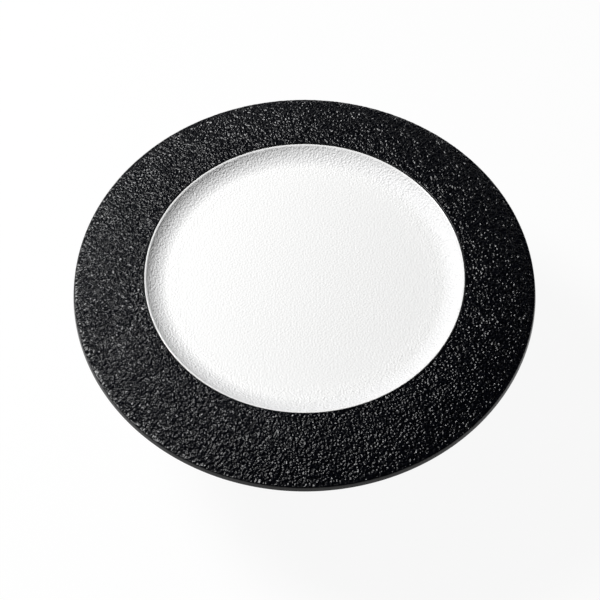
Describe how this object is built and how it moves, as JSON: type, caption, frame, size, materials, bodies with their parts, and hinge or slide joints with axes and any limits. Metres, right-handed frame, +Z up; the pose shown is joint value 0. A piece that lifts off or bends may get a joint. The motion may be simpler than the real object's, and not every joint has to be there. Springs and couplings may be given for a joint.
{
  "type": "in ground well light",
  "caption": "Round recessed ground light: wide black crowned trim ring, dished frosted lens, buried sleeve with sealed lamp canister and cable glands.",
  "frame": {"origin": "middle of the sleeve's foot, at its underside", "axes": "+Z up along the light's axis, out of the ground; X across the cable notches"},
  "size_m": [0.16, 0.16, 0.0787],
  "materials": {
    "ring_plastic": "black moulded plastic with pebble grain, smooth outer lip",
    "lens_frosted": "frosted opal moulding with fine grain and a polished rim",
    "spring_steel": "spring steel wire",
    "washer_plastic": "natural low-friction plastic",
    "gasket_rubber": "grey silicone rubber",
    "sleeve_plastic": "black ribbed moulding",
    "canister_plastic": "dark grey glass-filled moulding",
    "reflector_white": "white satin moulding",
    "lamp_plastic": "white lamp base",
    "lamp_opal": "opal lamp cover",
    "brass_plated": "plated brass",
    "board_metal": "white-masked metal-core board",
    "chip_yellow": "phosphor yellow chips",
    "board_green": "green circuit board with black and yellow components",
    "holder_plastic": "off-white heat-resistant plastic",
    "screw_steel": "zinc-plated steel",
    "block_plastic": "white terminal plastic",
    "lead_brown": "brown insulated lead",
    "lead_blue": "blue insulated lead",
    "gland_plastic": "black nylon gland",
    "seal_rubber": "black rubber",
    "vent_plastic": "grey vent plug"
  },
  "bodies": {
    "housing": {"lens_gasket": "gasket_rubber", "sleeve": "sleeve_plastic", "canister": "canister_plastic", "reflector": "reflector_white", "lampholder": "holder_plastic", "holder_contacts": "brass_plated", "holder_screws": "screw_steel", "terminal_block": "block_plastic", "terminal_inserts": "brass_plated", "terminal_screws": "screw_steel", "live_lead": "lead_brown", "neutral_lead": "lead_blue", "blanking_plug": "gland_plastic", "vent_plug": "vent_plastic", "inlet_gland_body": "gland_plastic", "inlet_gland_nut": "gland_plastic", "inlet_gland_locknut": "gland_plastic", "inlet_gland_washer": "seal_rubber", "inlet_gland_seal": "seal_rubber", "loop_gland_body": "gland_plastic", "loop_gland_nut": "gland_plastic", "loop_gland_locknut": "gland_plastic", "loop_gland_washer": "seal_rubber", "loop_gland_seal": "seal_rubber"},
    "lens_assembly": {"lens": "lens_frosted", "slip_washer": "washer_plastic"},
    "ring_assembly": {"trim_ring": "ring_plastic", "lens_retainer": "spring_steel"},
    "lamp": {"lamp_base": "lamp_plastic", "lamp_cover": "lamp_opal", "lamp_pins": "brass_plated", "led_board": "board_metal", "led_chips": "chip_yellow", "driver_board": "board_green"}
  },
  "joints": [
    {"name": "lens_lift", "type": "slide", "parent": "housing", "child": "lens_assembly", "axis": [0, 0, 1], "range_m": [0, 0.005]},
    {"name": "ring_turn", "type": "hinge", "parent": "lens_assembly", "child": "ring_assembly", "pos_m": [0, 0, 0.07], "axis": [0, 0, 1], "range_deg": [0, 60]},
    {"name": "lamp_twist", "type": "hinge", "parent": "housing", "child": "lamp", "pos_m": [0, 0, 0.049], "axis": [0, 0, 1], "range_deg": [0, 14]}
  ],
  "couplings": [
    {"joint": "lens_lift", "follows": "ring_turn", "m_per_rad": 0.0047746}
  ]
}
